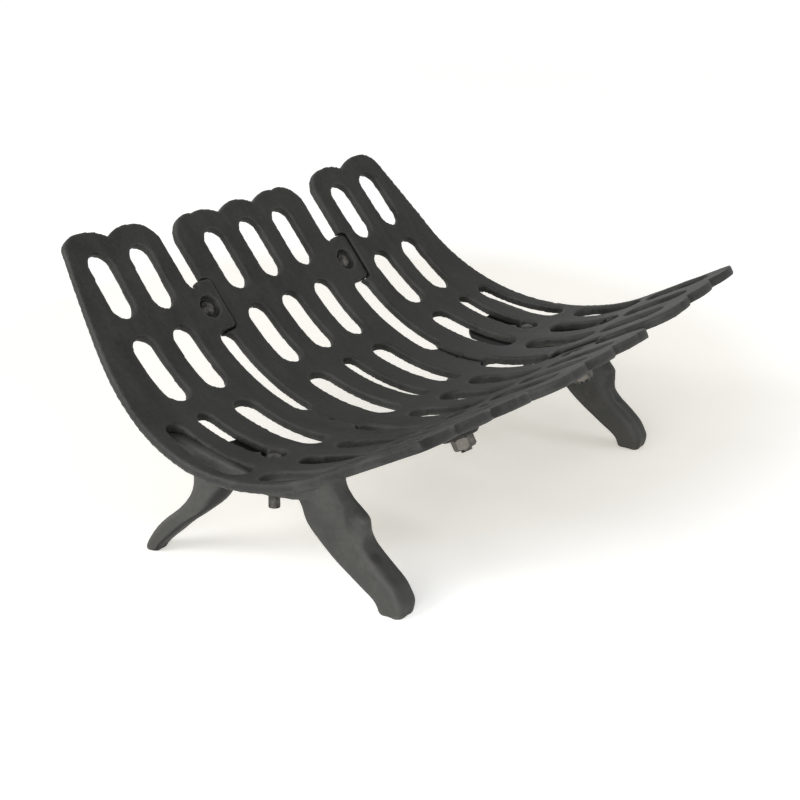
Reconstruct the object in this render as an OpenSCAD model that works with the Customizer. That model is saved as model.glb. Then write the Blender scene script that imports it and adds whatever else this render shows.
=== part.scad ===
// Log grate: a curved cradle of three slotted iron castings, lapped and bolted edge to edge,
// standing on two arched leg castings. Millimetres, +Z up, +Y to the back of the fireplace,
// origin on the floor under the middle of the grate.

/* [Cradle profile] */
// Thickness of the cast panels
panel_t = 7; // [6:0.5:8]
// Radius of the rear half of the cradle, on its upper face
rear_r = 148; // [140:1:160]
// Radius of the front half of the cradle, on its upper face
front_r = 180; // [170:1:190]
// Rise of the straight back, in degrees from level
rear_angle = 51.5; // [48:0.5:54]
// Rise of the straight front, in degrees from level
front_angle = 28.5; // [26:0.5:30]
// Length of the straight back, from the curve to the tips of the lobes
rear_len = 85; // [80:1:90]
// Height of the lowest point of the upper face above the floor
cradle_h = 78.5; // [76:0.5:84]

/* [Slots] */
// Spacing of the slot columns across a panel
column_pitch = 40; // [38:0.5:42]
// Width of a slot
slot_w = 22; // [18:0.5:23]
// Iron between the rear tips and the first row of slots
rear_tip_bar = 17.5; // [15:0.5:19]
// Length of the slots in the first row from the back
row_1_len = 51.5; // [46:0.5:54]
// Iron between the first and second rows
bar_1_2 = 15; // [13:0.5:18]
// Length of the slots in the second row
row_2_len = 56; // [50:1:58]
// Iron between the second and third rows
bar_2_3 = 15; // [13:0.5:18]
// Length of the slots in the third row
row_3_len = 78.5; // [74:0.5:82]
// Iron between the third and fourth rows
bar_3_4 = 12; // [10:0.5:14]
// Length of the slots in the fourth row
row_4_len = 62.5; // [56:0.5:64]
// Iron between the fourth and fifth rows
bar_4_5 = 8.5; // [7:0.5:11]
// Length of the slots in the fifth row
row_5_len = 56.5; // [52:0.5:60]
// Iron between the fifth row and the front tips
front_tip_bar = 19; // [16:0.5:22]
// Width of the slots in the middle of the third row of each panel
narrow_slot_w = 14; // [12:0.5:16]
// Width at the back of the outermost slot of the third row, which leans in and narrows there
leaning_slot_w = 14.5; // [12:0.5:16]
// How far the rear end of that slot leans in towards the middle of the grate
leaning_slot_run = 9.5; // [8:0.5:11]

/* [Lobes] */
// Radius of the rounded crown over each column
crown_r = 32; // [28:1:36]
// Radius of a panel's outer corners
corner_r = 21; // [18:1:23]
// Depth of the notches between the crowns
notch_depth = 6.5; // [4:0.5:8]

/* [Seams] */
// Distance of each seam from the middle of the grate
seam_x = 83; // [81:0.5:85]
// Distance from a seam to the first column of a side panel
seam_margin = 42.5; // [41:0.5:45]
// Width of the openings left along a seam
seam_gap = 17; // [14:0.5:19]
// Clearance between castings where they meet
joint_gap = 0.4; // [0.3:0.1:0.6]
// Where the opening between the rear lobes ends, measured from the rear tips
rear_gap_end = 59; // [56:1:61]
// Where the long opening of a seam begins
long_gap_start = 95; // [93:1:98]
// Where the long opening of a seam ends
long_gap_end = 187; // [182:1:192]
// Where the short opening of a seam begins
short_gap_start = 229; // [224:1:234]
// Where the short opening of a seam ends
short_gap_end = 289; // [284:1:291]
// Where the opening between the front lobes begins
front_gap_start = 336; // [335:1:339]
// Diameter of the locating hole in the butted joint
locating_hole_d = 5; // [4:0.5:6]

/* [Lap joints] */
// Place of the rear seam bolts, measured from the rear tips
rear_bolt_s = 76; // [75:0.5:78]
// Place of the front seam bolts, measured from the rear tips
front_bolt_s = 312.5; // [311:0.5:314]
// How far a tab laps over the next panel, past the seam
tab_reach = 15; // [13.5:0.5:15.5]
// Length of a tab along the seam
tab_len = 42; // [38:1:44]
// Radius of a tab's corners
tab_corner_r = 5; // [4:0.5:7]
// Radius of the lug under a tab
lug_r = 13; // [12:0.5:14]
// Thickness of the lug's plate
lug_t = 5.5; // [5:0.5:6]
// Depth of the lug's nut face below the upper face
lug_depth = 15; // [14:0.5:17]

/* [Side panels] */
// How far the side panels tilt up towards their outer ends, in degrees
side_tilt = 3.9; // [3:0.1:4.5]
// How far a side panel stands above the middle one at the seam
side_lift = 2; // [1:0.25:2.5]
// Iron between the middle line of the outermost column and the panel's outer edge
edge_margin = 19; // [17.5:0.5:22.5]
// Radius of the curved outer edge, seen from above
edge_r = 660; // [620:10:760]
// Where the outer edge starts to curve in, in front of the lowest point
edge_start = 48; // [40:1:56]

/* [Leg castings] */
// Thickness of the plate under the panel
plate_t = 5; // [4:0.5:7]
// Where the plate's tail begins, measured from the rear tips
tail_start = 150; // [146:1:156]
// Where the wide part of the plate begins
plate_start = 180; // [176:1:184]
// Where the plate ends
plate_end = 300; // [290:2:310]
// Place of the leg bolt, measured from the rear tips
leg_bolt_s = 222; // [220:0.5:223]
// Radius of the boss that the leg bolt passes through
boss_r = 12.5; // [12:0.5:14]
// Depth of the boss's nut face below the upper face
boss_depth = 20; // [18:0.5:22]
// Thickness of the web that joins the two legs
web_t = 10.5; // [9:0.5:13]
// Height of the web's lower edge above the floor at the back
web_rear_z = 63; // [58:1:68]
// Height of the web's lower edge above the floor at the front
web_front_z = 67; // [60:1:72]
// Half the spread of the front feet
front_foot_x = 168; // [160:1:176]
// Distance of the front feet in front of the lowest point
front_foot_y = 103.5; // [98:0.5:110]
// Half the spread of the rear feet
rear_foot_x = 188; // [182:1:194]
// Distance of the rear feet behind the lowest point
rear_foot_y = 87; // [82:1:92]

/* [Bolts] */
// Diameter of the bolts
bolt_d = 8; // [7:0.5:9]
// Diameter of the domed heads
head_d = 14; // [12.5:0.5:15]
// Height of the domed heads
head_h = 3.5; // [3:0.25:3.75]
// Diameter of the recess for a head
recess_d = 17.5; // [16:0.5:18.5]
// Depth of the recess for a head
recess_depth = 4; // [3:0.25:4.5]
// Length of the seam bolts under the head
seam_bolt_len = 21; // [20:0.5:25]
// Length of the leg bolts under the head
leg_bolt_len = 34; // [30:0.5:36]
// Clearance around a bolt in its holes, on the diameter
bolt_clearance = 1; // [0.5:0.1:1.5]
// Width of the nuts across their flats
nut_af = 14.3; // [13:0.1:15]
// Height of the nuts
nut_h = 8; // [6.5:0.25:8.5]

/* [Hidden] */
$fn = 96;

iron = [0.20, 0.20, 0.20];
steel = [0.46, 0.43, 0.40];

// The profile is followed by s, the distance along the upper face from the rear tips,
// and n, the height above that face, square to it.
rear_arc = rear_r * rear_angle * PI / 180;
front_arc = front_r * front_angle * PI / 180;
low_s = rear_len + rear_arc;
front_s = low_s + front_arc;
row_lens = [row_1_len, row_2_len, row_3_len, row_4_len, row_5_len];
row_bars = [rear_tip_bar, bar_1_2, bar_2_3, bar_3_4, bar_4_5];
function row_start(i) = row_bars[i] + (i == 0 ? 0 : row_end(i - 1));
function row_end(i) = row_start(i) + row_lens[i];
end_s = row_end(4) + front_tip_bar;

function slope(s) =
    s < rear_len ? rear_angle
    : s < low_s ? (low_s - s) / rear_arc * rear_angle
    : s < front_s ? (low_s - s) / front_arc * front_angle
    : -front_angle;
function face_y(s) =
    s < rear_len ? rear_r * sin(rear_angle) + (rear_len - s) * cos(rear_angle)
    : s < low_s ? rear_r * sin(slope(s))
    : s < front_s ? front_r * sin(slope(s))
    : -front_r * sin(front_angle) - (s - front_s) * cos(front_angle);
function face_z(s) =
    s < rear_len ? rear_r * (1 - cos(rear_angle)) + (rear_len - s) * sin(rear_angle)
    : s < low_s ? rear_r * (1 - cos(slope(s)))
    : s < front_s ? front_r * (1 - cos(slope(s)))
    : front_r * (1 - cos(front_angle)) + (s - front_s) * sin(front_angle);

// The lowest point is set off the origin, so that the origin is midway front to back
back_y = face_y(0) + panel_t * sin(rear_angle);
front_y = face_y(end_s) - panel_t * sin(front_angle);
low_y = -(back_y + front_y) / 2;
function profile_point(s, n) = [
    low_y + face_y(s) - n * sin(slope(s)),
    cradle_h + face_z(s) + n * cos(slope(s))
];

// Length of the part of a tab that fills the bridge on its own side of the seam
tab_core = 30;

rear_steps = round(rear_angle / 3.7);
front_steps = round(front_angle / 3.6);

cut_n = 18;
side_col = [for (i = [0:2]) seam_x + seam_margin + i * column_pitch];
bar_edge = seam_gap / 2;
// How far a round corner's arc reaches past the edge that it runs into, so that they cross
corner_bite = 0.1;
front_half_w = side_col[2] + edge_margin;
function edge_x(y) =
    let (d = y - low_y + edge_start)
    front_half_w - (d > 0 ? edge_r - sqrt(edge_r * edge_r - d * d) : 0);
// How far the front end of the leaning slot stays inside its column
leaning_slot_shift = 2.5;
seat_n = -panel_t - joint_gap;
// How far outside the leg bolt the web starts, clear of the nut
web_offset = 9.5;
leg_bolt_x = side_col[1];

// Puts its children on the upper face at x and s: x across, y up the back, z square to the face
module on_face(x, s) {
    translate([x, low_y + face_y(s), cradle_h + face_z(s)]) rotate([slope(s), 0, 0]) children();
}

// Puts the right side panel's flat frame in its tilted place, and mirrors it for the left one
module side_frame(side) {
    mirror([side < 0 ? 1 : 0, 0, 0])
        translate([seam_x, 0, cradle_h + side_lift]) rotate([0, -side_tilt, 0])
            translate([-seam_x, 0, -cradle_h]) children();
}

// The left seam's joints: mirrored, and lifted with the left panel but not tilted
module left_seam() {
    translate([0, 0, side_lift]) mirror([1, 0, 0]) children();
}

// Places along the profile from s0 to s1, close enough together to follow its curves
function stations(s0, s1) = concat(
    s0 < rear_len ? [s0] : [],
    [for (i = [0:rear_steps]) let (s = rear_len + rear_arc * i / rear_steps) if (s >= s0 && s <= s1) s],
    [for (i = [1:front_steps]) let (s = low_s + front_arc * i / front_steps) if (s >= s0 && s <= s1) s],
    s1 > front_s ? [s1] : []
);

// A strip of the cradle from x0 to x1 and from s0 to s1, between the heights n0 and n1
module band(x0, x1, s0, s1, n0, n1) {
    along = stations(s0, s1);
    last = len(along) - 1;
    translate([x0, 0, 0]) rotate([90, 0, 90]) linear_extrude(x1 - x0)
        polygon(concat(
            [for (i = [0:last]) profile_point(along[i], n1)],
            [for (i = [last:-1:0]) profile_point(along[i], n0)]));
}

// Cutter for a slot with round ends from s0 to s1, drawn square to the line between its ends
module slot(x, s0, s1, w = slot_w) {
    rear = profile_point(s0, 0);
    front = profile_point(s1, 0);
    length = norm(rear - front);
    tilt = atan2(rear.y - front.y, rear.x - front.x);
    translate([x, (rear.x + front.x) / 2, (rear.y + front.y) / 2]) rotate([tilt, 0, 0])
        translate([0, 0, -cut_n]) linear_extrude(2 * cut_n) {
            square([w, length - w], center = true);
            for (end = [-1, 1]) translate([0, end * (length - w) / 2]) circle(d = w);
        }
}

// Cutter for the slot that leans: upright, round ends of two widths and straight sides between
module leaning_slot(x0, s0, w0, x1, s1, w1) {
    y0 = low_y + face_y(s0) - w0 / 2;
    y1 = low_y + face_y(s1) + w1 / 2;
    translate([0, 0, cradle_h - 4 * cut_n]) linear_extrude(8 * cut_n) {
        translate([x0, y0]) circle(d = w0);
        translate([x1, y1]) circle(d = w1);
        polygon([[x0 - w0 / 2, y0], [x1 - w1 / 2, y1], [x1 + w1 / 2, y1], [x0 + w0 / 2, y0]]);
    }
}

// The openings along one seam: two open ends and two closed slots, and the locating hole
module seam_cutters() {
    slot(seam_x, -2 * seam_gap, rear_gap_end, seam_gap);
    slot(seam_x, long_gap_start, long_gap_end, seam_gap);
    slot(seam_x, short_gap_start, short_gap_end, seam_gap);
    slot(seam_x, front_gap_start, end_s + 2 * seam_gap, seam_gap);
    on_face(seam_x, (long_gap_end + short_gap_start) / 2)
        translate([0, 0, -cut_n]) cylinder(d = locating_hole_d, h = 2 * cut_n);
}

// Cutter for one end of a panel, which leaves crowns over the columns, notches between them
// and round corners beyond them
module end_cutter(s_tip, inward, crowns, corners) {
    first = min(corners);
    last = max(corners);
    on_face(0, s_tip) translate([0, 0, -2 * panel_t]) linear_extrude(3 * panel_t)
        mirror([0, inward > 0 ? 1 : 0]) difference() {
            union() {
                translate([first - 2 * corner_r, -cut_n]) square([2 * corner_r, cut_n + corner_r]);
                translate([first - 1, -cut_n]) square([last - first + 2, cut_n + notch_depth]);
                translate([last, -cut_n]) square([2 * corner_r, cut_n + corner_r]);
            }
            for (x = crowns) translate([x, crown_r]) circle(crown_r);
            for (x = corners) translate([x, corner_r]) circle(corner_r);
        }
}

// The plan of a tab on the side x > 0 of the seam, grown by some clearance
module tab_plan(grow) {
    reach = tab_reach + grow;
    half = tab_len / 2 + grow;
    r = tab_corner_r;
    translate([0, -half]) square([reach - r, 2 * half]);
    translate([reach - r - 1, r - half]) square([r + 1, 2 * half - 2 * r]);
    for (end = [-1, 1]) translate([reach - r, end * (half - r)]) circle(r);
}

// A tab that laps over the next panel
module tab(s, toward) {
    on_face(seam_x, s) translate([0, 0, -panel_t]) mirror([toward > 0 ? 0 : 1, 0, 0]) {
        linear_extrude(panel_t) tab_plan(0);
        translate([-bar_edge, -tab_core / 2, 0]) cube([bar_edge + 1, tab_core, panel_t]);
    }
}
module tab_clearance(s, toward) {
    on_face(seam_x, s) translate([0, 0, seat_n]) mirror([toward > 0 ? 0 : 1, 0, 0])
        linear_extrude(2 * cut_n) {
            tab_plan(joint_gap);
            translate([-2, -tab_len / 2 - joint_gap]) square([3, tab_len + 2 * joint_gap]);
        }
}

// The lug that carries a tab from below, risen into the bar of its own panel
module lug(s, toward) {
    riser = tab_reach + joint_gap + 0.6;
    reach = riser + 10;
    side = toward > 0 ? 0 : 1;
    on_face(seam_x, s) mirror([side, 0, 0]) {
        translate([0, 0, -lug_depth]) cylinder(r = lug_r, h = lug_depth + seat_n);
        translate([0, -lug_r + 2, seat_n - lug_t]) cube([reach, 2 * lug_r - 4, lug_t]);
        translate([riser, -lug_r + 2, seat_n - lug_t])
            cube([reach - riser, 2 * lug_r - 4, lug_t - seat_n - 1.2]);
    }
}

module head_recess(x, s) {
    on_face(x, s) translate([0, 0, -recess_depth]) cylinder(d = recess_d, h = 2 * cut_n);
}
module bolt_hole(x, s) {
    on_face(x, s) translate([0, 0, -3 * cut_n])
        cylinder(d = bolt_d + bolt_clearance, h = 6 * cut_n);
}

seam_bolts = [rear_bolt_s, front_bolt_s];

// Middle casting: three columns of five slots. Its right edge carries tabs, its left edge lugs.
module centre_panel() {
    columns = [-column_pitch, 0, column_pitch];
    corner = seam_x - bar_edge - corner_r + corner_bite;
    seam_edge = seam_x - joint_gap / 2;
    color(iron) difference() {
        union() {
            difference() {
                band(-seam_edge, seam_edge, 0, end_s, -panel_t, 0);
                end_cutter(0, 1, columns, [-corner, corner]);
                end_cutter(end_s, -1, columns, [-corner, corner]);
                for (x = columns, row = [0:4])
                    slot(x, row_start(row), row_end(row), x == 0 && row == 2 ? narrow_slot_w : slot_w);
                seam_cutters();
                mirror([1, 0, 0]) seam_cutters();
                left_seam() for (s = seam_bolts) tab_clearance(s, -1);
            }
            for (s = seam_bolts) {
                tab(s, 1);
                left_seam() lug(s, -1);
            }
        }
        for (s = seam_bolts) {
            head_recess(seam_x, s);
            bolt_hole(seam_x, s);
            left_seam() bolt_hole(seam_x, s);
        }
    }
}

// The outline of a side panel from above: straight at the front, curved in towards the back
module edge_outline() {
    edge_y = low_y - edge_start;
    translate([0, 0, -cradle_h]) linear_extrude(6 * cradle_h) {
        translate([front_half_w - edge_r, edge_y]) circle(edge_r, $fn = 720);
        translate([0, edge_y - edge_r]) square([front_half_w, edge_r]);
    }
}

// Side casting in its flat frame: two columns at the back and three from the third row on
module side_panel_blank() {
    lean = sin(side_tilt);
    near_corner = seam_x + bar_edge + corner_r - corner_bite;
    near_rear = near_corner + lean * face_z(corner_r);
    near_front = near_corner + lean * face_z(end_s - corner_r);
    far_rear = edge_x(low_y + face_y(corner_r)) - corner_r + corner_bite;
    far_front = front_half_w - corner_r + corner_bite;
    intersection() {
        difference() {
            band(seam_x - 3, front_half_w, 0, end_s, -panel_t, 0);
            end_cutter(0, 1, [side_col[0], side_col[1]], [near_rear, far_rear]);
            end_cutter(end_s, -1, side_col, [near_front, far_front]);
            for (column = [0:2], row = [0:4])
                if (column == 0 || (column == 1 && row != 2) || (column == 2 && row > 2))
                    slot(side_col[column], row_start(row), row_end(row));
            slot(leg_bolt_x, row_start(2), leg_bolt_s - recess_d / 2 + 1.5, narrow_slot_w);
            leaning_slot(side_col[2] - leaning_slot_run, row_start(2), leaning_slot_w,
                side_col[2] - leaning_slot_shift, row_end(2), slot_w - 1);
        }
        edge_outline();
    }
}

// Side casting in place, with its seam edge cut upright beside the middle casting
module side_panel(side) {
    difference() {
        side_frame(side) side_panel_blank();
        mirror([side < 0 ? 1 : 0, 0, 0]) {
            translate([0, -2 * end_s, 0]) cube([seam_x + joint_gap / 2, 4 * end_s, 2 * end_s]);
            seam_cutters();
        }
    }
}

// Left casting: its inner edge carries tabs that lap over the middle casting
module left_panel() {
    color(iron) difference() {
        union() {
            side_panel(-1);
            left_seam() for (s = seam_bolts) tab(s, -1);
        }
        left_seam() for (s = seam_bolts) {
            head_recess(seam_x, s);
            bolt_hole(seam_x, s);
        }
        side_frame(-1) {
            head_recess(leg_bolt_x, leg_bolt_s);
            bolt_hole(leg_bolt_x, leg_bolt_s);
        }
    }
}

// Right casting: its inner edge carries lugs that sit under the middle casting's tabs
module right_panel() {
    color(iron) difference() {
        union() {
            difference() {
                side_panel(1);
                for (s = seam_bolts) tab_clearance(s, 1);
            }
            for (s = seam_bolts) lug(s, 1);
        }
        for (s = seam_bolts) bolt_hole(seam_x, s);
        side_frame(1) {
            head_recess(leg_bolt_x, leg_bolt_s);
            bolt_hole(leg_bolt_x, leg_bolt_s);
        }
    }
}

// The plate of a leg casting seen from above: a pad around the leg bolt, a tail back over the
// rear leg and a tongue forward over the front leg
module plate_outline() {
    tail = low_y + face_y(tail_start);
    rear = low_y + face_y(plate_start);
    front = low_y + face_y(plate_end);
    bolt_y = low_y + face_y(leg_bolt_s);
    polygon([
        [leg_bolt_x + 24, tail], [leg_bolt_x + 29, tail], [leg_bolt_x + 31, rear],
        [leg_bolt_x + 30, bolt_y - 20], [leg_bolt_x + 20, front + 6], [leg_bolt_x + 14, front],
        [leg_bolt_x - 4, front], [leg_bolt_x - 12, front + 10], [leg_bolt_x - 15, bolt_y - 40],
        [leg_bolt_x - 28, bolt_y - 14], [leg_bolt_x - 33, bolt_y + 2],
        [leg_bolt_x - 32, rear - 6], [leg_bolt_x - 27, rear - 1], [leg_bolt_x - 18, rear + 1],
        [leg_bolt_x + 20, rear + 3]
    ]);
}

// The web that joins the legs seen from the side, with its top left to be trimmed
module web_profile() {
    top = cradle_h + 40;
    polygon([
        [low_y + 34, web_rear_z + 6], [low_y + 34, top], [low_y - 58, top],
        [low_y - 56, web_front_z + 14], [low_y - 48, web_front_z + 4],
        [low_y - 34, web_front_z], [low_y - 24, web_front_z - 1],
        [low_y - 8, (web_rear_z + web_front_z) / 2 - 1], [low_y + 13, web_rear_z],
        [low_y + 26, web_rear_z + 1]
    ]);
}

// Stations down a leg: [x, y from the lowest point, height, half depth in x, half width in y].
// Both legs start under the panel and end below the floor, where they are cut flat.
front_top_x = leg_bolt_x + 11;
front_leg = [
    [front_top_x, -62, cradle_h + 26, 9, 27],
    [front_top_x, -59, cradle_h + 7, 10, 25],
    [front_top_x - 2, -56, cradle_h - 7, 10.5, 25],
    [lean(0.35), 44.5 - front_foot_y, 60, 11, 26],
    [lean(0.06), 44.5 - front_foot_y, 50, 11, 25],
    [front_foot_x, 38.5 - front_foot_y, 41, 11, 23],
    [front_foot_x, 27 - front_foot_y, 31, 11.5, 22.5],
    [front_foot_x, 15 - front_foot_y, 22, 11.5, 21],
    [front_foot_x, 7.5 - front_foot_y, 15, 11.5, 17.5],
    [front_foot_x, 1.5 - front_foot_y, 9, 11, 14],
    [front_foot_x, -front_foot_y, 3, 10.5, 11],
    [front_foot_x, -front_foot_y, -6, 10.5, 9.5]
];
rear_top_x = leg_bolt_x + 24.5;
rear_leg = [
    [rear_top_x, 22, cradle_h + 18, 8.5, 26],
    [rear_top_x, 24, cradle_h, 9, 20],
    [rear_top_x, 27, cradle_h - 13, 10, 15.5],
    [rear_foot_x + 1, rear_foot_y - 52.5, 53, 10, 13],
    [rear_foot_x + 1, rear_foot_y - 40.5, 41, 10, 11],
    [rear_foot_x, rear_foot_y - 26.5, 30, 9.5, 10.5],
    [rear_foot_x - 1, rear_foot_y - 15.5, 20, 9.5, 10],
    [rear_foot_x - 1, rear_foot_y - 7, 11, 9, 8],
    [rear_foot_x, rear_foot_y - 1, 3, 7.5, 6.5],
    [rear_foot_x, rear_foot_y + 2, -6, 7, 5]
];
leg_sides = 20;
leg_steps = 2;

// How far the front leg has leaned out from over its foot to its top
function lean(t) = front_foot_x + t * (front_top_x - front_foot_x);

// A smooth curve through stations a, b, c and d, at t between b and c
function blend(a, b, c, d, t) =
    0.5 * (2 * b + (c - a) * t + (2 * a - 5 * b + 4 * c - d) * t * t
    + (3 * b - a - 3 * c + d) * t * t * t);
function leg_station(list, u) =
    let (last = len(list) - 1, i = min(floor(u), last - 1))
    blend(list[max(i - 1, 0)], list[i], list[i + 1], list[min(i + 2, last)], u - i);
// A rounded, slightly squared section
function leg_ring(st) = [
    for (k = [0:leg_sides - 1])
        let (
            a = 360 * k / leg_sides,
            c = cos(a),
            s = sin(a),
            r = pow(pow(abs(c), 2.5) + pow(abs(s), 2.5), -0.4)
        )
        [st[0] + st[3] * r * c, low_y + st[1] + st[4] * r * s, st[2]]
];
module leg(list) {
    rings = (len(list) - 1) * leg_steps;
    points = [for (i = [0:rings]) each leg_ring(leg_station(list, i / leg_steps))];
    n = leg_sides;
    polyhedron(points, concat(
        [[for (k = [n - 1:-1:0]) k]],
        [for (i = [0:rings - 1], k = [0:n - 1])
            let (a = i * n + k, b = i * n + (k + 1) % n)
            each [[a, b, a + n], [b, b + n, a + n]]],
        [[for (k = [0:n - 1]) rings * n + k]]));
}

// Leg casting: plate and boss under the panel, and an arch of two branch-like legs and a web
module leg_casting(side) {
    color(iron) difference() {
        union() {
            side_frame(side) {
                intersection() {
                    band(leg_bolt_x - 40, leg_bolt_x + 40, rear_len - 1, front_s + 60,
                        seat_n - plate_t, 2);
                    linear_extrude(4 * cradle_h) plate_outline();
                }
                on_face(leg_bolt_x, leg_bolt_s) translate([0, 0, -boss_depth])
                    cylinder(r = boss_r, h = boss_depth - panel_t);
            }
            mirror([side < 0 ? 1 : 0, 0, 0]) {
                leg(front_leg);
                leg(rear_leg);
                translate([leg_bolt_x + web_offset, 0, 0]) rotate([90, 0, 90])
                    linear_extrude(web_t) web_profile();
            }
        }
        side_frame(side) {
            band(leg_bolt_x - 60, front_half_w + 60, 0, end_s, seat_n, 60);
            bolt_hole(leg_bolt_x, leg_bolt_s);
        }
        translate([-2 * front_half_w, -2 * front_half_w, -cradle_h])
            cube([4 * front_half_w, 4 * front_half_w, cradle_h]);
    }
}

// Bolt with a domed head, seated in its recess
module bolt(x, s, length) {
    dome_r = (head_d * head_d / 4 + head_h * head_h) / (2 * head_h);
    color(steel) on_face(x, s) translate([0, 0, -recess_depth]) {
        intersection() {
            translate([0, 0, head_h - dome_r]) sphere(dome_r);
            cylinder(d = head_d + 1, h = head_h + 1);
        }
        translate([0, 0, -length]) cylinder(d = bolt_d, h = length + 0.5);
    }
}

// Hexagon nut with chamfered corners, its top face depth below the upper face
module nut(x, s, depth) {
    corner_d = nut_af / cos(30);
    chamfer = (corner_d - nut_af) / 2;
    color(steel) on_face(x, s) translate([0, 0, -depth - nut_h]) difference() {
        intersection() {
            cylinder(d = corner_d, h = nut_h, $fn = 6);
            union() {
                cylinder(d1 = nut_af, d2 = corner_d, h = chamfer);
                translate([0, 0, chamfer]) cylinder(d = corner_d, h = nut_h - 2 * chamfer);
                translate([0, 0, nut_h - chamfer])
                    cylinder(d1 = corner_d, d2 = nut_af, h = chamfer);
            }
        }
        translate([0, 0, -1]) cylinder(d = bolt_d + 0.2, h = nut_h + 2);
    }
}

module rear_left_seam_bolt() { left_seam() bolt(seam_x, rear_bolt_s, seam_bolt_len); }
module rear_right_seam_bolt() { bolt(seam_x, rear_bolt_s, seam_bolt_len); }
module front_left_seam_bolt() { left_seam() bolt(seam_x, front_bolt_s, seam_bolt_len); }
module front_right_seam_bolt() { bolt(seam_x, front_bolt_s, seam_bolt_len); }
module left_leg_bolt() { side_frame(-1) bolt(leg_bolt_x, leg_bolt_s, leg_bolt_len); }
module right_leg_bolt() { side_frame(1) bolt(leg_bolt_x, leg_bolt_s, leg_bolt_len); }
module rear_left_seam_nut() { left_seam() nut(seam_x, rear_bolt_s, lug_depth); }
module rear_right_seam_nut() { nut(seam_x, rear_bolt_s, lug_depth); }
module front_left_seam_nut() { left_seam() nut(seam_x, front_bolt_s, lug_depth); }
module front_right_seam_nut() { nut(seam_x, front_bolt_s, lug_depth); }
module left_leg_nut() { side_frame(-1) nut(leg_bolt_x, leg_bolt_s, boss_depth); }
module right_leg_nut() { side_frame(1) nut(leg_bolt_x, leg_bolt_s, boss_depth); }

left_panel();
centre_panel();
right_panel();
leg_casting(-1);  // left_leg_casting
leg_casting(1);  // right_leg_casting
rear_left_seam_bolt();
rear_right_seam_bolt();
front_left_seam_bolt();
front_right_seam_bolt();
left_leg_bolt();
right_leg_bolt();
rear_left_seam_nut();
rear_right_seam_nut();
front_left_seam_nut();
front_right_seam_nut();
left_leg_nut();
right_leg_nut();
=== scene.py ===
"""Looks for the log grate: black sand-cast iron on two leg castings, with plain steel bolts."""

import math

import bmesh
import bpy
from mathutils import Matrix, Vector
from mathutils.bvhtree import BVHTree


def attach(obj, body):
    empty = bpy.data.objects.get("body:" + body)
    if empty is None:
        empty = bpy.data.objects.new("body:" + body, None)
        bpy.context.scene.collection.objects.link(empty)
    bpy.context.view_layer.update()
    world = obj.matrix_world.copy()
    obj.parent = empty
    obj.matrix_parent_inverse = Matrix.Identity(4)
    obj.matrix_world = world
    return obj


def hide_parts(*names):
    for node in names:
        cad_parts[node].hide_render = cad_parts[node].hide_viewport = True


MM = 0.001

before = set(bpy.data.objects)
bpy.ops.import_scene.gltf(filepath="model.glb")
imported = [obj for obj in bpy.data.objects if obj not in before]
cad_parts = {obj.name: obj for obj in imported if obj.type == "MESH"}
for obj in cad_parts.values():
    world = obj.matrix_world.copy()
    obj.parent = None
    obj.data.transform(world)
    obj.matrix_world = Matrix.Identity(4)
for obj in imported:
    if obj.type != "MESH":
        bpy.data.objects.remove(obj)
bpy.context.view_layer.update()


# ---------------------------------------------------------------- Cradle panels
# Three slotted plates with scalloped ends, sand-cast in grey iron about 7 mm thick and bolted at
# lap joints. A thin coat of matte black stove paint lies over the grain that the sand leaves. It
# is greyer in dusty streaks and on worn high places. Painted shade darkens its hollows and the
# places next to the other panels at the joints.


def plug(tree, value, slot):
    """Links a Socket to an input, or sets the input to a plain value."""
    if isinstance(value, Socket):
        tree.links.new(value.socket, slot)
    else:
        slot.default_value = value


class Socket:
    """An output of a node. Arithmetic on it makes Math nodes in its tree."""

    def __init__(self, tree, socket):
        self.tree = tree
        self.socket = socket

    def math(self, operation, *values):
        """The result of a Math node on the given values, which may be Sockets or numbers."""
        node = self.tree.nodes.new("ShaderNodeMath")
        node.operation = operation
        for slot, value in zip(node.inputs, values):
            plug(self.tree, value, slot)
        return Socket(self.tree, node.outputs[0])

    def __add__(self, other):
        return self.math("ADD", self, other)

    def __radd__(self, other):
        return self.math("ADD", other, self)

    def __sub__(self, other):
        return self.math("SUBTRACT", self, other)

    def __rsub__(self, other):
        return self.math("SUBTRACT", other, self)

    def __mul__(self, other):
        return self.math("MULTIPLY", self, other)

    def __rmul__(self, other):
        return self.math("MULTIPLY", other, self)

    def __truediv__(self, other):
        return self.math("DIVIDE", self, other)

    def or_more(self, other):
        """The larger of this value and another."""
        return self.math("MAXIMUM", self, other)

    def between(self, low, high):
        """0 at or below low, 1 at or above high, and straight between."""
        rise = ((self - low) / (high - low)).or_more(0.0)
        return self.math("MINIMUM", rise, 1.0)


# A Mix node has a set of sockets for each kind of value, and these are its colour sockets
MIX_FACTOR, MIX_A, MIX_B, MIX_RESULT = 0, 6, 7, 2


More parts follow.
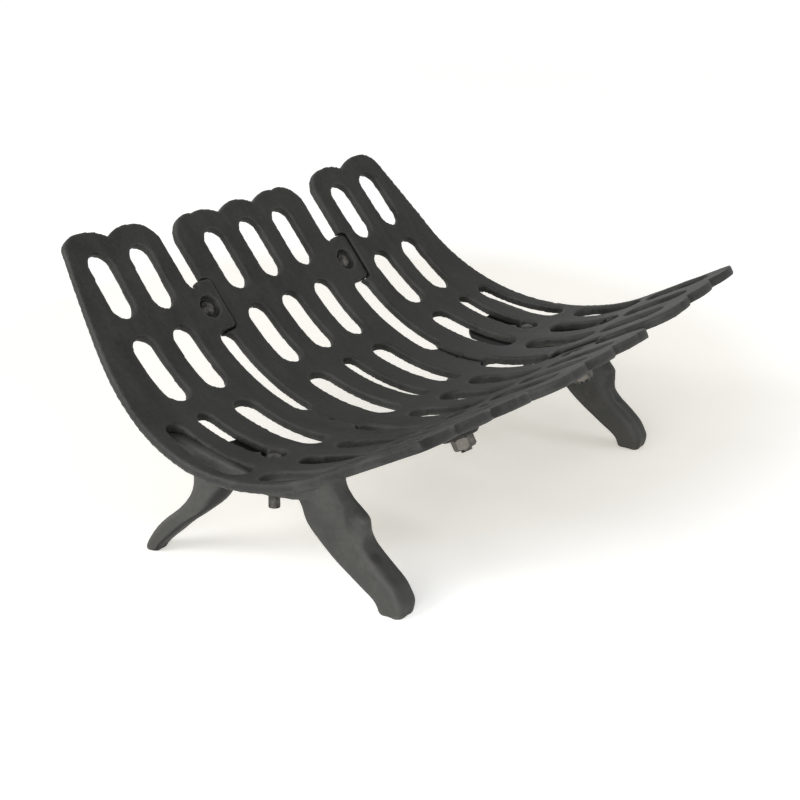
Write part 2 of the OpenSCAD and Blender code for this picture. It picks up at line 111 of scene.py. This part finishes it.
class Tree:
    """A node tree, with the one method that makes any node in it."""

    def __init__(self, tree):
        self.tree = tree

    def node(self, kind, inputs=None, output=0, **properties):
        """Makes a node, sets its properties, plugs its inputs and gives one of its outputs."""
        node = self.tree.nodes.new(kind)
        for name, value in properties.items():
            setattr(node, name, value)
        for name, value in (inputs or {}).items():
            plug(self.tree, value, node.inputs[name])
        return Socket(self.tree, node.outputs[output]) if len(node.outputs) else None

    def part(self, vector, axis):
        """One part, X, Y or Z, of a vector."""
        return self.node("ShaderNodeSeparateXYZ", {"Vector": vector}, output=axis)

    def noise(self, vector, scale, detail=2.0, roughness=0.5):
        """A noise texture's factor, 0 to 1 around 0.5, that depends on the place alone."""
        return self.node(
            "ShaderNodeTexNoise",
            {"Vector": vector, "Scale": scale, "Detail": detail, "Roughness": roughness},
        )

    def seeded_noise(self, vector, seed, scale, detail):
        """A noise texture's factor that is another one for each seed."""
        return self.node(
            "ShaderNodeTexNoise",
            {"Vector": vector, "W": seed, "Scale": scale, "Detail": detail},
            noise_dimensions="4D",
        )

    def mix_colour(self, factor, a, b):
        """Colour a where the factor is 0, colour b where it is 1."""
        inputs = {MIX_FACTOR: factor, MIX_A: a, MIX_B: b}
        return self.node("ShaderNodeMix", inputs, output=MIX_RESULT, data_type="RGBA")


def new_material(name):
    """A material with an empty tree, and that tree."""
    material = bpy.data.materials.new(name)
    material.use_nodes = True
    material.node_tree.nodes.clear()
    return material, Tree(material.node_tree)


def rgb(red, green, blue):
    """An opaque colour."""
    return (red, green, blue, 1.0)


# The colour of painted shade
PAINTED_SHADE = rgb(0.004, 0.004, 0.004)
RELIEF_DEPTH = 0.35 * MM

# The patterns' scales, per metre. Streaks run along y and z, down the slope of the cradle.
STREAK_SCALE = 95.0
STREAK_STRETCH = (1.0, 0.28, 0.28)
PATCH_SCALE = 24.0
SAND_SCALE = 900.0
PIT_SCALE = 330.0

# For each mark, the value at which it starts to show and the value at which it is full
STREAK_BAND = (0.40, 0.64)
PATCH_BAND = (0.40, 0.62)
SAND_BAND = (0.30, 0.70)
PIT_BAND = (0.32, 0.68)
EDGE_BAND = (0.3, 0.9)
# The last four bands are for painted shade: in hollows, on front and rear faces, on faces that
# look down or into the leg arch, and next to a neighbouring part
HOLLOW_SHADE_BAND = (-0.1, -0.8)
SIDE_SHADE_BAND = (0.12, 0.60)
ARCH_SHADE_BAND = (0.22, 0.50)
CONTACT_SHADE_BAND = (0.30, 0.65)


def cast_iron(name, dark, dusty, worn, painted_bounce_top, side_and_under_shade):
    """Stove-painted iron: dusty in patches, worn on edges, with painted bounce light near the
    floor and painted shade where little light falls.
    """
    material, tree = new_material(name)
    place = tree.node("ShaderNodeTexCoord", output="Object")
    facing = tree.node("ShaderNodeNewGeometry", output="Normal")
    bend = tree.node("ShaderNodeAttribute", output="Fac", attribute_name="bend")
    joint = tree.node("ShaderNodeAttribute", output="Fac", attribute_name="joint")
    along = tree.node(
        "ShaderNodeVectorMath", {0: place, 1: STREAK_STRETCH}, operation="MULTIPLY"
    )
    streaks = tree.noise(along, STREAK_SCALE, 3.0, 0.6).between(*STREAK_BAND)
    patches = tree.noise(place, PATCH_SCALE, 3.0, 0.55).between(*PATCH_BAND)
    sand = tree.noise(place, SAND_SCALE, 3.0, 0.6)
    pits = tree.noise(place, PIT_SCALE, 2.0, 0.5)

    grain = pits.between(*PIT_BAND) * 0.3 + sand.between(*SAND_BAND) * 0.15
    dust = patches * 0.3 + streaks * 0.35 + grain
    # Painted bounce light from the floor: lighter below a given height, more so nearer the floor
    painted_bounce = tree.part(place, "Z").between(painted_bounce_top, 0.2 * painted_bounce_top) * 0.6
    edge = bend.between(*EDGE_BAND) * (0.15 + patches * 0.45)

    # Painted shade darkens front and rear faces, and darkens more those that look down or into
    # the leg arch
    across = tree.part(facing, "Y")
    y = tree.part(place, "Y")
    into_arch = across * y.math("SIGN", y) * -0.5 - tree.part(facing, "Z") * 0.85
    painted_shade = (across * across).between(*SIDE_SHADE_BAND) * 0.3
    painted_shade = painted_shade.or_more(into_arch.between(*ARCH_SHADE_BAND)) * side_and_under_shade
    # Painted shade in hollows
    painted_shade = painted_shade.or_more(bend.between(*HOLLOW_SHADE_BAND) * 0.6)
    # Painted shade next to a neighbouring part
    painted_shade = painted_shade.or_more(joint.between(*CONTACT_SHADE_BAND) * 0.9)

    colour = tree.mix_colour(dust.or_more(painted_bounce), dark, dusty)
    colour = tree.mix_colour(edge, colour, worn)
    colour = tree.mix_colour(painted_shade, colour, PAINTED_SHADE)
    relief = sand * 0.5 + pits * 0.5
    bump = tree.node(
        "ShaderNodeBump", {"Strength": 0.5, "Distance": RELIEF_DEPTH, "Height": relief}
    )
    shader = tree.node(
        "ShaderNodeBsdfPrincipled",
        {
            "Base Color": colour,
            "Roughness": 0.46 + dust * 0.2,
            "Specular IOR Level": 0.22,
            "Normal": bump,
        },
    )
    tree.node("ShaderNodeOutputMaterial", {"Surface": shader})
    return material


def merged_copy(node):
    """A free object with a copy of a CAD node's mesh, its doubled points merged."""
    mesh = node.data.copy()
    work = bmesh.new()
    work.from_mesh(mesh)
    bmesh.ops.remove_doubles(work, verts=work.verts, dist=0.002 * MM)
    bmesh.ops.recalc_face_normals(work, faces=work.faces)
    work.to_mesh(mesh)
    work.free()
    mesh.materials.clear()
    copy = bpy.data.objects.new(node.name + "_copy", mesh)
    bpy.context.scene.collection.objects.link(copy)
    return copy


def baked(source, name):
    """A plain mesh object at the origin with what the source's modifiers make of it."""
    graph = bpy.context.evaluated_depsgraph_get()
    mesh = bpy.data.meshes.new_from_object(source.evaluated_get(graph), depsgraph=graph)
    mesh.name = name
    piece = bpy.data.objects.new(name, mesh)
    bpy.context.scene.collection.objects.link(piece)
    bpy.data.objects.remove(source)
    return piece


# Size of the small faces. With it every casting stays under 200,000 triangles.
VOXEL = 1.25 * MM


def evened(source, name):
    """A mesh of even small faces over everything in the source, its shells joined."""
    remesh = source.modifiers.new("even_mesh", "REMESH")
    remesh.mode = "VOXEL"
    remesh.voxel_size = VOXEL
    remesh.use_smooth_shade = True
    return baked(source, name)


# The skin: every edge of a sand casting is rounded, and its faces are never quite true. It evens
# out the mesh, which rounds the edges, and moves it by a slow wave and a fine grain.
SKIN_INPUTS = (
    ("Geometry", "NodeSocketGeometry"),
    ("Softening", "NodeSocketInt"),
    ("Wave depth", "NodeSocketFloat"),
    ("Grain depth", "NodeSocketFloat"),
    ("Seed", "NodeSocketFloat"),
    ("Coat", "NodeSocketMaterial"),
)
WAVE_SCALE = 45.0
WAVE_DEPTH = 0.5 * MM
GRAIN_SCALE = 260.0
GRAIN_DEPTH = 0.12 * MM
BEND_ROUNDS = 6
FULL_BEND = 0.4 * MM


def skin_group():
    """Geometry Nodes that round, mark, move and paint an evened mesh.

    They store "bend", how far a point stands out of its neighbours' average: 1 at a sharp
    outer edge, and below 0 in a hollow.
    """
    group = bpy.data.node_groups.new("casting_skin", "GeometryNodeTree")
    for name, kind in SKIN_INPUTS:
        group.interface.new_socket(name, in_out="INPUT", socket_type=kind)
    group.interface.new_socket("Geometry", in_out="OUTPUT", socket_type="NodeSocketGeometry")
    tree = Tree(group)
    given = group.nodes.new("NodeGroupInput")
    geometry, softening, wave_depth, grain_depth, seed, coat = (
        Socket(group, output) for output in given.outputs[: len(SKIN_INPUTS)]
    )
    position = tree.node("GeometryNodeInputPosition")
    normal = tree.node("GeometryNodeInputNormal")

    def averaged(rounds):
        """The places of the points, each averaged with its neighbours a number of times."""
        inputs = {"Value": position, "Iterations": rounds}
        return tree.node("GeometryNodeBlurAttribute", inputs, data_type="FLOAT_VECTOR")

    def vectors(operation, inputs, output=0):
        """The result of a Vector Math node."""
        return tree.node("ShaderNodeVectorMath", inputs, output, operation=operation)

    inputs = {"Geometry": geometry, "Position": averaged(softening)}
    softened = tree.node("GeometryNodeSetPosition", inputs)
    apart = vectors("SUBTRACT", {0: position, 1: averaged(BEND_ROUNDS)})
    bend = vectors("DOT_PRODUCT", {0: apart, 1: normal}, "Value") / FULL_BEND
    inputs = {"Geometry": softened, "Name": "bend", "Value": bend}
    marked = tree.node("GeometryNodeStoreNamedAttribute", inputs)
    wave = tree.seeded_noise(position, seed, WAVE_SCALE, 1.0)
    grain = tree.seeded_noise(position, seed, GRAIN_SCALE, 2.0)
    depth = (wave - 0.5) * wave_depth + (grain - 0.5) * grain_depth
    offset = vectors("SCALE", {0: normal, "Scale": depth})
    moved = tree.node("GeometryNodeSetPosition", {"Geometry": marked, "Offset": offset})
    painted = tree.node("GeometryNodeSetMaterial", {"Geometry": moved, "Material": coat})
    tree.node("NodeGroupOutput", {"Geometry": painted})
    return group


skin = skin_group()


def casting(source, node_name, name, coat, softening, seed):
    """The finished casting for one CAD node, from an evened mesh. No point is under the floor."""
    dress = source.modifiers.new("skin", "NODES")
    dress.node_group = skin
    settings = {
        "Softening": softening,
        "Wave depth": WAVE_DEPTH,
        "Grain depth": GRAIN_DEPTH,
        "Seed": seed,
        "Coat": coat,
    }
    for item in skin.interface.items_tree:
        if item.name in settings:
            dress[item.identifier] = settings[item.name]
    piece = baked(source, name)
    for vertex in piece.data.vertices:
        vertex.co.z = max(vertex.co.z, 0.0)
    piece.data.shade_smooth()
    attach(piece, "root")
    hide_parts(node_name)


def faces_of(mesh):
    """The faces of a mesh, for rays and nearest points."""
    return BVHTree.FromPolygons(
        [v.co[:] for v in mesh.vertices], [p.vertices[:] for p in mesh.polygons]
    )


def mark_joint(mesh, neighbours, width, outermost):
    """Stores how much painted shade each point gets, as "joint": 1 where it touches a neighbour,
    0 past a width in mm.

    Points farther than outermost from the middle, in mm along x, keep 0.
    """
    joint = mesh.attributes.new("joint", "FLOAT", "POINT")
    for vertex, mark in zip(mesh.vertices, joint.data):
        if abs(vertex.co.x) > outermost * MM:
            continue
        near = [n.find_nearest(vertex.co, width * MM)[3] for n in neighbours]
        near = [d for d in near if d is not None]
        mark.value = 1.0 - min(near) / (width * MM) if near else 0.0


PANELS = ("left_panel", "centre_panel", "right_panel")
PANEL_SOFTENING = 2
PANEL_SEED = 7.3
# Painted shade reaches this far, in mm, from the other panels near the seams
CONTACT_SHADE_WIDTH = 3.0
SEAM_REACH = 110.0

iron = cast_iron(
    "cast_iron",
    dark=rgb(0.0035, 0.0035, 0.0032),
    dusty=rgb(0.0312, 0.0312, 0.0288),
    worn=rgb(0.0500, 0.0500, 0.0460),
    painted_bounce_top=1.0 * MM,
    side_and_under_shade=0.0,
)
panel_faces = {name: faces_of(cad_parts[name].data) for name in PANELS}
for number, name in enumerate(PANELS):
    even_panel = evened(merged_copy(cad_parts[name]), name + "_even")
    others = [panel_faces[other] for other in PANELS if other != name]
    mark_joint(even_panel.data, others, CONTACT_SHADE_WIDTH, SEAM_REACH)
    casting(even_panel, name, name + "_casting", iron, PANEL_SOFTENING, number * PANEL_SEED)


# ---------------------------------------------------------------- Leg castings
# A plate, a bolt boss and an arch of two legs like bent branches are sand-cast in one piece for
# each side, and bolted up under a side panel. A wing of the plate lies under part of the panel's
# outer slot. Its iron is painted lighter than the cradle's, as painted light for the lamps that
# fall more on the legs. It is painted lighter towards the floor as painted bounce light, and has
# painted shade on its front and rear faces, on faces that look down or into the arch, and next
# to the side panel.

# A lighter copy of the cradle's iron, as painted light: the lamps fall more on the legs
lit_leg_iron = cast_iron(
    "lit_leg_iron",
    dark=rgb(0.0250, 0.0250, 0.0228),
    dusty=rgb(0.0560, 0.0555, 0.0510),
    worn=rgb(0.0800, 0.0790, 0.0720),
    painted_bounce_top=60.0 * MM,
    side_and_under_shade=0.8,
)

# Sizes in this section are in millimetres, and places are those of the right casting
WING_X = (185.0, 197.0)
WING_Y = (-34.0, 62.0)
WING_THICKNESS = 4.0
WING_STATIONS = 17
UP = Vector((0.0, 0.0, 1.0))


def wing(panel, side):
    """The wing of a leg plate, as a bmesh that lies along the lower face of the panel."""

    def underside(x, y):
        """Height of the panel's lower face over a point of the floor, or None off the panel."""
        place = panel.ray_cast(Vector((x * MM, y * MM, 0.0)), UP)[0]
        return place.z / MM if place else None

    work = bmesh.new()
    rings = []
    for k in range(WING_STATIONS):
        y = WING_Y[0] + (WING_Y[1] - WING_Y[0]) * k / (WING_STATIONS - 1)
        inner, outer = (underside(side * x, y) for x in WING_X)
        if inner is None or outer is None:
            continue
        corners = (
            (WING_X[0], inner),
            (WING_X[1], outer),
            (WING_X[1], outer - WING_THICKNESS),
            (WING_X[0], inner - WING_THICKNESS),
        )
        rings.append([work.verts.new((side * x * MM, y * MM, z * MM)) for x, z in corners])
    for a, b in zip(rings, rings[1:]):
        for k in range(4):
            work.faces.new((a[k], a[(k + 1) % 4], b[(k + 1) % 4], b[k]))
    work.faces.new(rings[0])
    work.faces.new(rings[-1][::-1])
    bmesh.ops.recalc_face_normals(work, faces=work.faces)
    return work


def share(value, low, high):
    """0 at low and 1 at high with a smooth start and end."""
    t = min(max((value - low) / (high - low), 0.0), 1.0)
    return t * t * (3.0 - 2.0 * t)


SLICE = 3.0
SQUARE_Z = (42.0, 60.0)
SQUARE_SIZE = 0.87
SQUARE_CORE = 0.05


def square_legs(mesh):
    """Turns the legs' oval sections into rounded rectangles that look as wide from a corner.

    The change is whole below the first height of SQUARE_Z and fades out at the second.
    """
    slices = {}
    for vertex in mesh.vertices:
        x, y, z = vertex.co
        if z < SQUARE_Z[1] * MM:
            box = slices.setdefault((y > 0.0, int(z / (SLICE * MM))), [x, x, y, y])
            box[:] = min(box[0], x), max(box[1], x), min(box[2], y), max(box[3], y)

    def section(rear, z):
        """Middle and half size, in x and y, of the rear or front leg at a height."""
        place = max(z / (SLICE * MM) - 0.5, 0.0)
        below = slices[rear, int(place)]
        above = slices.get((rear, int(place) + 1), below)
        x0, x1, y0, y1 = (a + (b - a) * (place - int(place)) for a, b in zip(below, above))
        return ((x0 + x1) / 2, (y0 + y1) / 2), ((x1 - x0) / 2, (y1 - y0) / 2)

    for vertex in mesh.vertices:
        z = vertex.co.z
        if z >= SQUARE_Z[1] * MM:
            continue
        middle, half = section(vertex.co.y > 0.0, z)
        u, v = ((vertex.co[k] - middle[k]) / half[k] for k in (0, 1))
        oval = max(math.hypot(u, v), SQUARE_CORE)
        square = max((u**4 + v**4) ** 0.25, SQUARE_CORE)
        grow = 1.0 + (SQUARE_SIZE * oval / square - 1.0) * (1.0 - share(z / MM, *SQUARE_Z))
        vertex.co.x = middle[0] + u * grow * half[0]
        vertex.co.y = middle[1] + v * grow * half[1]


# The front leg is drawn in from the front towards its top
NECK_Z = (60.0, 86.0)
NECK_Y = (-60.0, -90.0)
NECK_DRAW = 16.0
# Thumb-like hollow, knuckle and crease of the front leg: each has its centre, its reach in x, y
# and z, and its push
DENTS = (
    ((177.0, -85.0, 63.0), (9.0, 10.0, 19.0), (-1.8, 3.0, 0.0)),
    ((171.0, -92.0, 50.0), (10.0, 11.0, 9.0), (0.5, -3.0, 0.0)),
    ((169.0, -98.0, 39.0), (9.0, 9.0, 7.0), (-0.5, 2.5, -0.5)),
)


def reshape_leg(mesh, side):
    """Draws the neck of the front leg in and presses the dents into one leg casting."""
    for vertex in mesh.vertices:
        x, y, z = (c / MM for c in vertex.co)
        x *= side
        across = min(max((NECK_Y[0] - y) / (NECK_Y[0] - NECK_Y[1]), 0.0), 1.0)
        y += NECK_DRAW * across * share(z, *NECK_Z)
        for centre, reach, push in DENTS:
            far = sum(((p - c) / r) ** 2 for p, c, r in zip((x, y, z), centre, reach))
            fade = max(1.0 - far, 0.0) ** 2
            x, y, z = (p + fade * d for p, d in zip((x, y, z), push))
        vertex.co = (side * x * MM, y * MM, z * MM)


SHADE_WIDTH = 11.0
SHADE_REACH = 176.0
LEG_SOFTENING = 3
LEG_SEED = 31.0
LEG_SEED_STEP = 2.6

for side, place in ((-1, "left"), (1, "right")):
    name = place + "_leg_casting"
    panel = panel_faces[place + "_panel"]
    source = merged_copy(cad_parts[name])
    shells = wing(panel, side)
    shells.from_mesh(source.data)
    shells.to_mesh(source.data)
    shells.free()
    even_leg = evened(source, name + "_even")
    square_legs(even_leg.data)
    reshape_leg(even_leg.data, side)
    # Painted shade on the leg casting next to the side panel, out to SHADE_WIDTH mm from it
    mark_joint(even_leg.data, [panel], SHADE_WIDTH, SHADE_REACH)
    seed = LEG_SEED + side * LEG_SEED_STEP
    casting(even_leg, name, name + "_skin", lit_leg_iron, LEG_SOFTENING, seed)


# ---------------------------------------------------------------- Bolts and nuts
# Plain low-carbon steel that came with a black oxide finish and has gone brown and dull with
# heat. The domed heads sit in ring recesses; they and the nuts under the leg plates are darker,
# partly with the same black dust as the iron and partly as painted shade. The nuts of the seams
# hang clear in the light and are lighter, partly barer and partly as painted light.

BLOTCH_SCALE = 190.0
BLOTCH_BAND = (0.35, 0.68)
SCRATCH_SCALE = 1500.0
SCRATCH_DEPTH = 0.15 * MM


def bolt_steel(name, dark, bare):
    """Dull steel, from dark to bare in blotches."""
    material, tree = new_material(name)
    place = tree.node("ShaderNodeTexCoord", output="Object")
    blotch = tree.noise(place, BLOTCH_SCALE, 3.0, 0.6).between(*BLOTCH_BAND)
    scratch = tree.noise(place, SCRATCH_SCALE, 2.0, 0.5)
    bump = tree.node(
        "ShaderNodeBump", {"Strength": 0.25, "Distance": SCRATCH_DEPTH, "Height": scratch}
    )
    shader = tree.node(
        "ShaderNodeBsdfPrincipled",
        {
            "Base Color": tree.mix_colour(blotch, dark, bare),
            "Metallic": 0.85 - blotch * 0.25,
            "Roughness": 0.36 + blotch * 0.16,
            "Normal": bump,
        },
    )
    tree.node("ShaderNodeOutputMaterial", {"Surface": shader})
    return material


# Two copies of one steel: the seam nuts' is lighter, partly barer and partly as painted light;
# the heads' and leg nuts' is darker, partly dust and partly painted shade
lit_nut_steel = bolt_steel("lit_nut_steel", rgb(0.045, 0.042, 0.037), rgb(0.120, 0.110, 0.095))
shaded_steel = bolt_steel("shaded_steel", rgb(0.012, 0.012, 0.011), rgb(0.090, 0.085, 0.076))
BOLTED = (
    "rear_left_seam",
    "rear_right_seam",
    "front_left_seam",
    "front_right_seam",
    "left_leg",
    "right_leg",
)
for place in BOLTED:
    for kind in ("bolt", "nut"):
        steel = lit_nut_steel if kind == "nut" and "seam" in place else shaded_steel
        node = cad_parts[f"{place}_{kind}"]
        node.data.materials.clear()
        node.data.materials.append(steel)


# ---------------------------------------------------------------- Floor
# A pale, plain sweep that the grate stands on. It glows, and the glow also lights the grate from
# below. A painted shadow makes it a little warmer and darker round the right rear of the grate,
# and it glows more farther off, to meet the white behind it without an edge.

FLOOR_WIDTH = 14.0
FLOOR_GREY = (rgb(0.90, 0.90, 0.895), rgb(0.92, 0.92, 0.92))
# A painted shadow on the floor: the glow is lower and warmer near this middle, at the right rear
# of the grate, and rises to the round glow across a band of distances in metres
PAINTED_SHADOW_MIDDLE = (0.2, 0.2, 0.0)
PAINTED_SHADOW_GLOW = rgb(0.335, 0.315, 0.262)
GLOW_ROUND = rgb(0.47, 0.47, 0.46)
GLOW_FAR = rgb(0.60, 0.60, 0.60)
PAINTED_SHADOW_BAND = (0.36, 0.48)
FAR_BAND = (0.8, 3.0)


def lay_floor():
    """Lays the floor as part of the stage, not of the grate."""
    material, tree = new_material("floor")
    place = tree.node("ShaderNodeTexCoord", output="Object")
    shade = tree.noise(place, 3.0, 2.0, 0.5)
    inputs = {0: place, 1: PAINTED_SHADOW_MIDDLE}
    away = tree.node("ShaderNodeVectorMath", inputs, output="Value", operation="DISTANCE")
    glow_with_painted_shadow = tree.mix_colour(away.between(*PAINTED_SHADOW_BAND), PAINTED_SHADOW_GLOW, GLOW_ROUND)
    shader = tree.node(
        "ShaderNodeBsdfPrincipled",
        {
            "Base Color": tree.mix_colour(shade, *FLOOR_GREY),
            "Roughness": 0.9,
            "Specular IOR Level": 0.1,
            "Emission Color": tree.mix_colour(away.between(*FAR_BAND), glow_with_painted_shadow, GLOW_FAR),
            "Emission Strength": 1.0,
        },
    )
    tree.node("ShaderNodeOutputMaterial", {"Surface": shader})
    bpy.ops.mesh.primitive_plane_add(size=FLOOR_WIDTH, location=(0.0, 0.0, 0.0))
    sweep = bpy.context.object
    sweep.name = "floor"
    sweep.data.materials.append(material)


lay_floor()


# ---------------------------------------------------------------- Camera and light
# Seen from the front left, a little above, as the photograph shows it. Two large soft lamps on
# the left and a weak one in front leave a faint shadow to the right, under a white studio.

LENS = 65.6
SENSOR = 36.0
TARGET = Vector((0.0355, 0.0292, 0.0512))
AZIMUTH = math.radians(-55.22)
ELEVATION = math.radians(21.10)
DISTANCE = 1.1468
back = Vector(
    (
        math.sin(AZIMUTH) * math.cos(ELEVATION),
        -math.cos(AZIMUTH) * math.cos(ELEVATION),
        math.sin(ELEVATION),
    )
)
camera_data = bpy.data.cameras.new("camera")
camera_data.lens = LENS
camera_data.sensor_width = SENSOR
camera = bpy.data.objects.new("camera", camera_data)
camera.location = TARGET + back * DISTANCE
camera.rotation_euler = back.to_track_quat("Z", "Y").to_euler()
bpy.context.scene.collection.objects.link(camera)
bpy.context.scene.camera = camera
bpy.context.scene.view_settings.view_transform = "Standard"

LAMP_AIM = Vector((0.0, 0.0, 0.08))


def softbox(name, place, width, power):
    """A square soft lamp at a place, turned towards the grate."""
    data = bpy.data.lights.new(name, "AREA")
    data.size = width
    data.energy = power
    lamp = bpy.data.objects.new(name, data)
    lamp.location = place
    lamp.rotation_euler = (Vector(place) - LAMP_AIM).to_track_quat("Z", "Y").to_euler()
    bpy.context.scene.collection.objects.link(lamp)


softbox("key", (-2.1, 0.9, 1.3), width=1.2, power=38.0)
softbox("side", (-2.2, -0.9, 0.7), width=1.2, power=34.0)
softbox("fill", (0.9, -2.0, 0.8), width=1.0, power=10.0)

WORLD_LIGHT = 0.40
WORLD_WHITE = 1.0
world = bpy.data.worlds.new("studio")
bpy.context.scene.world = world
world.use_nodes = True
world.node_tree.nodes.clear()
studio = Tree(world.node_tree)
white = rgb(1.0, 1.0, 1.0)
seen = studio.node("ShaderNodeLightPath", output="Is Camera Ray")
seen = seen.or_more(studio.node("ShaderNodeLightPath", output="Is Glossy Ray"))
light = studio.node("ShaderNodeBackground", {"Color": white, "Strength": WORLD_LIGHT})
plain = studio.node("ShaderNodeBackground", {"Color": white, "Strength": WORLD_WHITE})
backdrop = studio.node("ShaderNodeMixShader", {0: seen, 1: light, 2: plain})
studio.node("ShaderNodeOutputWorld", {"Surface": backdrop})
